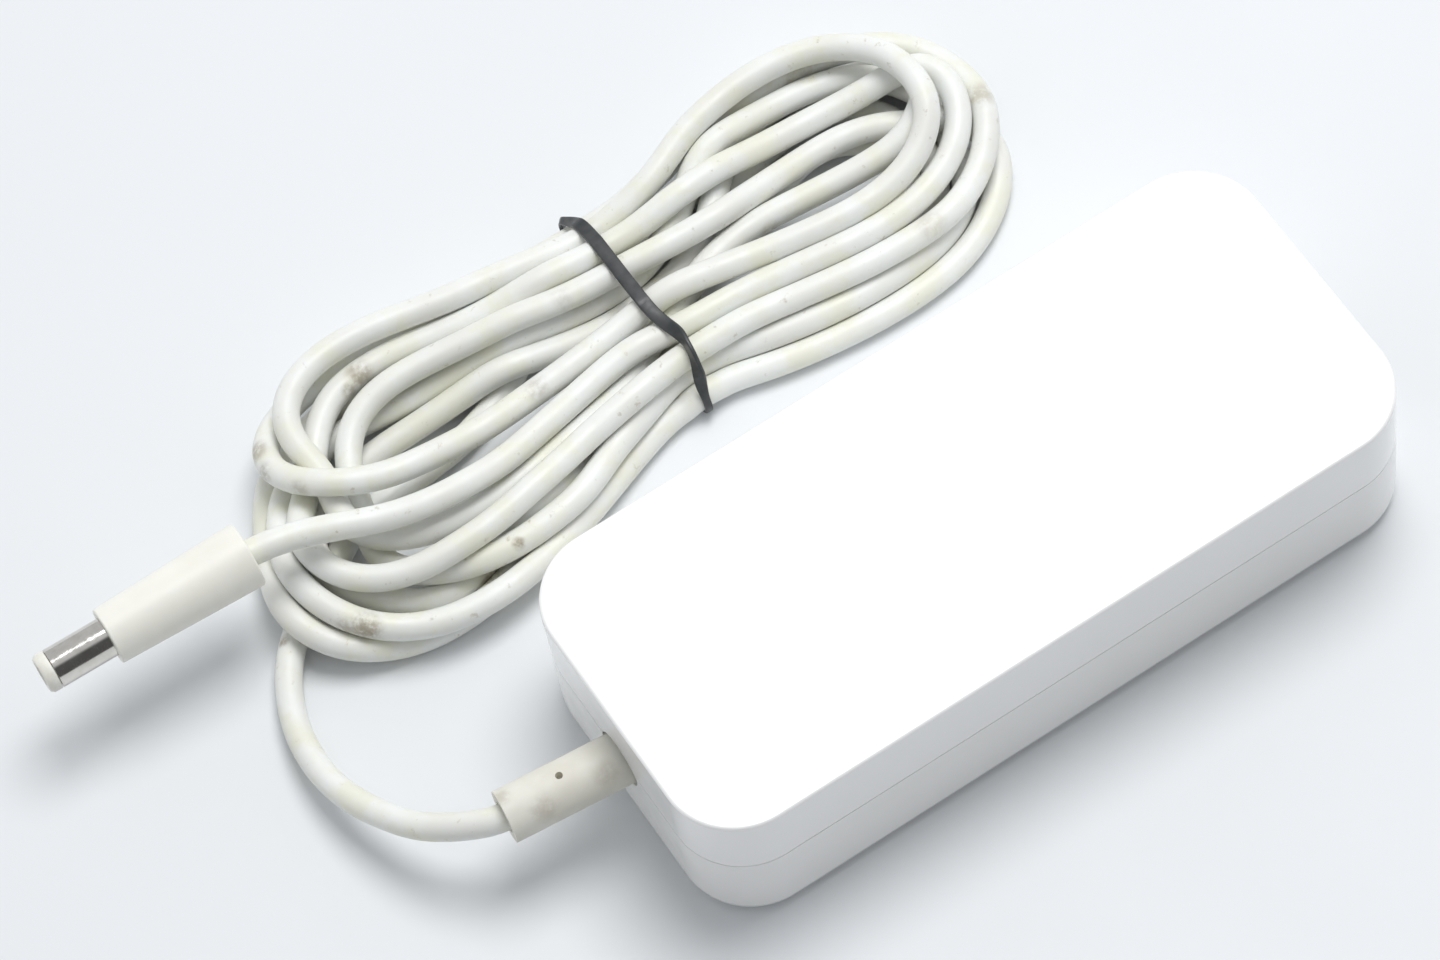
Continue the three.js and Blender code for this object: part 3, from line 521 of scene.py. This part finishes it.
def turned(name, profile, start, way, sides=72, easing=0.0):
    """A round piece: a ring carried along its axis through (radius, distance) pairs, from start."""
    nothing_selected()
    radius, distance = profile[0]
    bpy.ops.mesh.primitive_circle_add(
        vertices=sides, radius=radius * MM, location=(0, 0, distance * MM))
    piece = bpy.context.object
    piece.name = piece.data.name = name
    bpy.ops.object.transform_apply(location=True, rotation=True, scale=True)
    bpy.ops.object.mode_set(mode="EDIT")
    bpy.ops.mesh.select_mode(type="EDGE")
    bpy.ops.mesh.select_all(action="SELECT")
    for next_radius, next_distance in profile[1:]:
        rise = (next_distance - distance) * MM
        bpy.ops.mesh.extrude_region_move(TRANSFORM_OT_translate={"value": (0, 0, rise)})
        widen = next_radius / radius
        bpy.ops.transform.resize(
            value=(widen, widen, 1), center_override=(0, 0, next_distance * MM))
        radius, distance = next_radius, next_distance
    bpy.ops.mesh.select_all(action="SELECT")
    bpy.ops.mesh.remove_doubles(threshold=0.001 * MM)
    bpy.ops.mesh.select_all(action="DESELECT")
    bpy.ops.mesh.select_non_manifold()
    bpy.ops.mesh.fill_holes(sides=0)
    bpy.ops.mesh.select_all(action="SELECT")
    bpy.ops.mesh.normals_make_consistent(inside=False)
    bpy.ops.object.mode_set(mode="OBJECT")
    turn = Vector((0, 0, 1)).rotation_difference(Vector(way)).to_matrix().to_4x4()
    piece.matrix_world = Matrix.Translation(Vector(start) * MM) @ turn
    bpy.ops.object.transform_apply(location=True, rotation=True, scale=True)
    if easing:
        ease_edges(piece, easing, segments=2)
    return piece


def reshape(piece, other, operation="DIFFERENCE"):
    """Takes the other solid's shape out of the piece, or welds it on for UNION, and removes it."""
    pick(piece)
    change = piece.modifiers.new("cut", "BOOLEAN")
    change.operation = operation
    change.solver = "EXACT"
    change.object = other
    bpy.ops.object.modifier_apply(modifier=change.name)
    bpy.data.objects.remove(other, do_unlink=True)


SLEEVE_RADIUS = 3.6
SLEEVE_MOUTH = 2.2
MOUTH_FLOOR = SLEEVE_LENGTH - 1.2
FLANGE_RADIUS = 5.2
FLANGE_BACK, FLANGE_FRONT = -4.3, -2.75
relief = turned("lead_sleeve", [
    (LEAD_RADIUS, FLANGE_BACK), (FLANGE_RADIUS, FLANGE_BACK), (FLANGE_RADIUS, FLANGE_FRONT),
    (SLEEVE_RADIUS, FLANGE_FRONT), (SLEEVE_RADIUS, SLEEVE_LENGTH * 0.5), (SLEEVE_RADIUS, SLEEVE_LENGTH),
    (SLEEVE_MOUTH, SLEEVE_LENGTH), (SLEEVE_MOUTH, MOUTH_FLOOR), (0.3, MOUTH_FLOOR),
    (0.3, FLANGE_BACK), (LEAD_RADIUS, FLANGE_BACK)], SLEEVE_ROOT, SLEEVE_WAY)
PIN_PLACE = (-62.1, 0.85, 0)
PIN_RADIUS, PIN_FLOOR, PIN_TOP = 0.5, 15.6, 18.5
pin = [(PIN_RADIUS, PIN_FLOOR), (PIN_RADIUS, PIN_TOP)]
reshape(relief, turned("pin_hole", pin, PIN_PLACE, (0, 0, 1), 32))
ease_edges(relief, 0.22, segments=3, angle=40)
relief_rubber = plastic(
    "sleeve moulding", (0.77, 0.76, 0.69), (0.71, 0.69, 0.61), patch_mm=5.0, gloss=(0.5, 0.62),
    grain_mm=0.8, grain_depth=0.02, Subsurface_Weight=0.08, Subsurface_Radius=(1.0, 0.85, 0.6),
    Subsurface_Scale=0.001)
sleeve_stains = [(-57, -2.5, 16.5, 2.5, 0.25), (-66, -2, 16.6, 3.0, 0.3), (-69.8, 2.5, 16.4, 2.0, 0.35)]
stained(relief_rubber, sleeve_stains, (0.25, 0.2, 0.13))
relief.data.materials.append(relief_rubber)
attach(relief, "root")
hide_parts("strain_relief")

# ------------------------------------------------------------------------------------ barrel plug
# The plug is a cream moulded grip with flat ends, a nickel-plated sleeve, an ivory insulating core
# that ends in a nose ring, and the springy contact tube inside the core's bore.
GRIP_LENGTH = 21.0
SOCKET_FLOOR = 12.3
BARREL_START, BARREL_END = 12.4, 29.1
BARREL_OUT, BARREL_IN = 2.75, 2.35
NOSE_START, NOSE_END = 13.0, 30.8
NOSE_BORE, NOSE_CORE = 1.6, 2.25
CONTACT_START, CONTACT_END = 13.5, 30.2
CONTACT_IN, CONTACT_OUT = 1.25, 1.5
grip = turned("plug_grip_moulding", [
    (0.4, 1.5), (2.15, 1.5), (2.15, 0), (4.35, 0), (4.5, 0.18), (4.44, 3), (4.25, 10), (4.05, 17),
    (3.95, GRIP_LENGTH - 0.15), (3.82, GRIP_LENGTH), (2.8, GRIP_LENGTH), (2.8, SOCKET_FLOOR),
    (0.4, SOCKET_FLOOR), (0.4, 1.5)], PLUG_ROOT, PLUG_WAY, 96, easing=0.07)
grip.data.materials.append(plastic(
    "grip moulding", (0.88, 0.87, 0.80), (0.855, 0.84, 0.765), patch_mm=6.0, gloss=(0.30, 0.42),
    grain_mm=0.9, grain_depth=0.01, Subsurface_Weight=0.15, Subsurface_Radius=(1.0, 0.85, 0.6),
    Subsurface_Scale=0.0015))
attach(grip, "root")
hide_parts("plug_grip")

barrel = turned("plug_outer_sleeve", [
    (BARREL_OUT, BARREL_START), (BARREL_OUT, 20), (BARREL_OUT, BARREL_END), (BARREL_IN, BARREL_END),
    (BARREL_IN, BARREL_START), (BARREL_OUT, BARREL_START)], PLUG_ROOT, PLUG_WAY, 96, easing=0.06)
nickel = bpy.data.materials.new("nickel plate")
nickel.use_nodes = True
tree = nickel.node_tree
shader = tree.nodes["Principled BSDF"]
place = tree.nodes.new("ShaderNodeTexCoord").outputs["Object"]
handling = ranged(tree, noise(tree, place, 1.8, 5.0), 0.35, 0.7, 0.0, 1.0)
plate = blended(tree, handling, (0.72, 0.70, 0.66), (0.64, 0.62, 0.57))
tree.links.new(plate, shader.inputs["Base Color"])
polish = ranged(tree, noise(tree, place, 0.7, 5.0), 0.3, 0.7, 0.07, 0.16)
tree.links.new(polish, shader.inputs["Roughness"])
bumped(tree, shader, noise(tree, place, 0.5, 3.0, stretch=(0.15, 1, 1)), 0.0006, 0.4)
shader.inputs["Metallic"].default_value = 1.0
barrel.data.materials.append(nickel)
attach(barrel, "root")
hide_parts("plug_barrel")

nose = turned("plug_nose_ring", [
    (NOSE_BORE, NOSE_START), (NOSE_CORE, NOSE_START), (NOSE_CORE, BARREL_END + 0.1),
    (BARREL_OUT, BARREL_END + 0.1), (BARREL_OUT, NOSE_END - 0.55), (2.4, NOSE_END), (1.75, NOSE_END),
    (NOSE_BORE, NOSE_END - 0.2), (NOSE_BORE, NOSE_START)], PLUG_ROOT, PLUG_WAY, 96, easing=0.08)
nose.data.materials.append(plastic(
    "nose insulator", (0.86, 0.85, 0.79), (0.80, 0.78, 0.70), patch_mm=1.6, gloss=(0.35, 0.5),
    grain_mm=0.6, grain_depth=0.008, Subsurface_Weight=0.15, Subsurface_Radius=(1.0, 0.85, 0.6),
    Subsurface_Scale=0.001))
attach(nose, "root")
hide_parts("plug_tip_insulator")

contact = turned("plug_inner_contact", [
    (CONTACT_IN, CONTACT_START), (CONTACT_OUT, CONTACT_START), (CONTACT_OUT, CONTACT_END),
    (CONTACT_IN, CONTACT_END), (CONTACT_IN, CONTACT_START)], PLUG_ROOT, PLUG_WAY, 48, easing=0.05)
contact.data.materials.append(nickel)
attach(contact, "root")
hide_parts("plug_centre_contact")

# ---------------------------------------------------------------------------------------- casing
# Two white moulded shells meet at a fine seam a little above mid height and are welded at a tongue
# inside it. The upper one is glossy with a crisp rim, the lower one has a softly rounded underside.
CASE_LENGTH, CASE_WIDTH, CASE_HEIGHT = 108.0, 47.5, 26.0
CASE_CORNER = 10.0
WALL = 2.0
SEAM = 14.69
SEAM_GAP = 0.14
TONGUE = 0.7
TONGUE_HEIGHT = 1.6
LEAD_HOLE = 4.05
INLET_MIDDLE = 13.0
INLET_WINDOW = (8.0, 20.6, 12.2)


def rounded_block(name, inset, low, high, low_edge=0.0, high_edge=0.0):
    """A block of the casing's outline drawn in by inset, from low to high, with rounded rims."""
    nothing_selected()
    size = (CASE_LENGTH - 2 * inset, CASE_WIDTH - 2 * inset, high - low)
    bpy.ops.mesh.primitive_cube_add(
        size=1, location=(0, 0, (low + high) / 2 * MM), scale=[side * MM for side in size])
    block = bpy.context.object
    block.name = block.data.name = name
    bpy.ops.object.transform_apply(location=True, rotation=True, scale=True)
    bpy.ops.object.mode_set(mode="EDIT")
    bpy.ops.mesh.select_mode(type="EDGE")
    roundings = ((CASE_CORNER - inset, 20, None), (low_edge, 8, low), (high_edge, 5, high))
    for offset, segments, height in roundings:
        if offset <= 0:
            continue
        shape = bmesh.from_edit_mesh(block.data)
        for edge in shape.edges:
            heights = [vertex.co.z for vertex in edge.verts]
            if height is None:
                edge.select_set(abs(heights[0] - heights[1]) > 0.1 * MM)
            else:
                edge.select_set(all(abs(z - height * MM) < 0.01 * MM for z in heights))
        shape.select_flush_mode()
        bmesh.update_edit_mesh(block.data)
        bpy.ops.mesh.bevel(
            offset=offset * MM, offset_type="OFFSET", segments=segments, affect="EDGES")
        bpy.ops.mesh.select_all(action="DESELECT")
    bpy.ops.object.mode_set(mode="OBJECT")
    return block


def openings(shell):
    """Cuts the lead's hole and the inlet's window, which both cross the seam."""
    through = [(LEAD_HOLE, -6), (LEAD_HOLE, 6)]
    reshape(shell, turned("lead_hole", through, SLEEVE_ROOT, (-1, 0, 0)))
    nothing_selected()
    bpy.ops.mesh.primitive_cube_add(
        size=1, location=(CASE_LENGTH / 2 * MM, 0, INLET_MIDDLE * MM),
        scale=[side * MM for side in INLET_WINDOW])
    window = bpy.context.object
    bpy.ops.object.transform_apply(location=True, rotation=True, scale=True)
    reshape(shell, window)


# The blocks that cut run a few millimetres past the face they open.
lower = rounded_block("lower_shell", 0, 0, SEAM, low_edge=2.8)
reshape(lower, rounded_block("room", WALL, WALL, SEAM + 2, low_edge=0.8))
tongue = rounded_block("tongue", WALL - TONGUE, SEAM - 1, SEAM + TONGUE_HEIGHT)
reshape(tongue, rounded_block("room", WALL, SEAM - 2, SEAM + 3))
reshape(lower, tongue, "UNION")
openings(lower)
shade(lower, 40)

upper = rounded_block("upper_shell", 0, SEAM + SEAM_GAP, CASE_HEIGHT, high_edge=0.45)
reshape(upper, rounded_block("room", WALL, SEAM - 1, CASE_HEIGHT - WALL, high_edge=0.8))
rebate_top = SEAM + TONGUE_HEIGHT + SEAM_GAP
reshape(upper, rounded_block("rebate", WALL - TONGUE - SEAM_GAP, SEAM - 1, rebate_top))
openings(upper)
shade(upper, 40)

gloss_white = plastic(
    "cover gloss", (0.95, 0.95, 0.945), (0.935, 0.935, 0.925), patch_mm=22.0, gloss=(0.10, 0.2),
    grain_mm=3.0, grain_depth=0.003, Coat_Weight=0.35, Coat_Roughness=0.06)
satin_white = plastic(
    "cover satin", (0.91, 0.91, 0.90), (0.895, 0.895, 0.88), patch_mm=18.0, gloss=(0.18, 0.26),
    grain_mm=3.0, grain_depth=0.003, Coat_Weight=0.15, Coat_Roughness=0.15)
upper.data.materials.append(gloss_white)
lower.data.materials.append(satin_white)
shells = ((upper, "cover_gloss", "top_cover"), (lower, "cover_satin", "bottom_cover"))
for shell, finish, node in shells:
    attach(shell, "root")
    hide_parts(node)

# ------------------------------------------------------------------------- inlet and inner pieces
# The inlet sits in the end wall, and the board with its soldered components lies inside the shells.
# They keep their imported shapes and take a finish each: laminate, ferrite, lacquered wire, tape,
# sleeved and dipped capacitors, and metal.


def metal(name, colour, deep, rough, stretch, scratch_mm):
    """Bare or plated metal with fine lines drawn along one axis."""
    material = plastic(name, colour, deep, 6.0, rough, scratch_mm, 0.01, Metallic=1.0)
    tree = material.node_tree
    place = tree.nodes["Texture Coordinate"].outputs["Object"]
    lines = noise(tree, place, scratch_mm, 4.0, stretch=stretch)
    bumped(tree, tree.nodes["Principled BSDF"], lines, 0.01, 0.4)
    return material


def wound(name, colour, deep, pitch_mm, axis, depth_mm, **fixed):
    """Wire or tape laid turn beside turn along an axis."""
    material = plastic(name, colour, deep, 4.0, (0.25, 0.45), 0.3, 0.01, **fixed)
    tree = material.node_tree
    place = tree.nodes["Texture Coordinate"].outputs["Object"]
    turns = tree.nodes.new("ShaderNodeTexWave")
    turns.bands_direction = axis
    waves_to_a_unit = 20
    turns.inputs["Scale"].default_value = 1000.0 / pitch_mm / waves_to_a_unit
    turns.inputs["Distortion"].default_value = 0.6
    turns.inputs["Detail"].default_value = 1.0
    tree.links.new(place, turns.inputs["Vector"])
    bumped(tree, tree.nodes["Principled BSDF"], turns.outputs["Fac"], depth_mm, 0.8)
    return material


# Each moulded finish: colour, deeper colour, patch size, gloss, grain size and grain depth.
inner_finishes = {
    "cover_gloss": gloss_white,
    "nickel": nickel,
    "black_plastic": plastic("black moulding", (0.022, 0.022, 0.024), (0.035, 0.035, 0.036), 5.0,
                             (0.4, 0.55), 0.25, 0.02),
    "nose_insulator": plastic("insulating sheet", (0.70, 0.66, 0.54), (0.62, 0.57, 0.45), 12.0,
                              (0.45, 0.6), 0.5, 0.02),
    "board_laminate": plastic("board laminate", (0.43, 0.27, 0.10), (0.35, 0.21, 0.07), 7.0,
                              (0.5, 0.65), 0.35, 0.03),
    "heatsink_aluminium": metal("heat sink aluminium", (0.60, 0.61, 0.62), (0.50, 0.51, 0.52),
                                (0.3, 0.45), (0.06, 1, 1), 0.4),
    "ferrite": plastic("ferrite", (0.018, 0.018, 0.02), (0.04, 0.038, 0.038), 2.5,
                       (0.5, 0.7), 0.2, 0.05),
    "winding_tape": wound("winding tape", (0.62, 0.45, 0.04), (0.52, 0.36, 0.03), 6.0,
                          "Z", 0.05, Coat_Weight=0.2, Coat_Roughness=0.2),
    "winding_wire": wound("lacquered wire", (0.45, 0.14, 0.04), (0.36, 0.10, 0.03), 0.6,
                          "X", 0.12, Metallic=0.6, Coat_Weight=0.4, Coat_Roughness=0.15),
    "capacitor_sleeve": plastic("capacitor sleeve", (0.02, 0.035, 0.08), (0.03, 0.05, 0.10), 4.0,
                                (0.2, 0.35), 0.5, 0.01),
    "capacitor_brown": plastic("brown sleeve", (0.12, 0.04, 0.025), (0.09, 0.03, 0.02), 4.0,
                               (0.2, 0.35), 0.5, 0.01),
    "disc_ceramic": plastic("ceramic disc", (0.06, 0.17, 0.42), (0.05, 0.13, 0.34), 3.0,
                            (0.3, 0.5), 0.5, 0.05),
    "wire_red": plastic("red wire", (0.42, 0.03, 0.02), (0.34, 0.025, 0.02), 3.0,
                        (0.35, 0.5), 0.4, 0.01),
    "steel_screw": metal("zinc-plated steel", (0.55, 0.56, 0.58), (0.45, 0.45, 0.44),
                         (0.25, 0.4), (1, 1, 0.1), 0.3),
}
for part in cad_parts.values():
    for finish_slot in part.material_slots:
        if finish_slot.material and finish_slot.material.name in inner_finishes:
            finish_slot.material = inner_finishes[finish_slot.material.name]

# --------------------------------------------------------------------------------- floor and light
# The adapter lies on a matt, faintly bluish white table, under a large soft lamp nearly overhead,
# in a pale room.
TABLE_SIZE = 6
TABLE_DROP = 0.05
LAMP_SIZE, LAMP_POWER, LAMP_DISTANCE = 0.75, 10.9, 1.3
nothing_selected()
bpy.ops.mesh.primitive_plane_add(size=TABLE_SIZE, location=(0, 0, -TABLE_DROP * MM))
table_top = bpy.context.object
table_top.name = table_top.data.name = "table_top"
table_top.data.materials.append(plastic(
    "table", (0.785, 0.805, 0.822), (0.777, 0.797, 0.814), patch_mm=150.0, gloss=(0.6, 0.7),
    grain_mm=4.0, grain_depth=0.01))

lamp_data = bpy.data.lights.new("soft_lamp", "AREA")
lamp_data.shape = "DISK"
lamp_data.size = LAMP_SIZE
lamp_data.energy = LAMP_POWER
lamp = bpy.data.objects.new("soft_lamp", lamp_data)
bpy.context.scene.collection.objects.link(lamp)
lamp_way = Vector((5.3, 3.4, 18)).normalized()
lamp.location = lamp_way * LAMP_DISTANCE
lamp.rotation_euler = lamp_way.to_track_quat("Z", "Y").to_euler()

# The room is even but for a dim patch towards the front, which the plug's metal mirrors.
room = bpy.data.worlds.new("pale_room")
room.use_nodes = True
sky = room.node_tree
backdrop = sky.nodes["Background"]
backdrop.inputs["Color"].default_value = (0.955, 0.97, 1.0, 1)
dim_side = sky.nodes.new("ShaderNodeVectorMath")
dim_side.operation = "DOT_PRODUCT"
dim_side.inputs[1].default_value = (-0.2, -0.85, 0.5)
sky.links.new(sky.nodes.new("ShaderNodeTexCoord").outputs["Generated"], dim_side.inputs[0])
BRIGHT, DIM = 0.63, 0.1
DIM_EDGE, DIM_CORE = 0.72, 0.9
strength = ranged(sky, dim_side.outputs["Value"], DIM_EDGE, DIM_CORE, BRIGHT, DIM)
sky.links.new(strength, backdrop.inputs["Strength"])
bpy.context.scene.world = room
bpy.context.scene.view_settings.view_transform = "Standard"
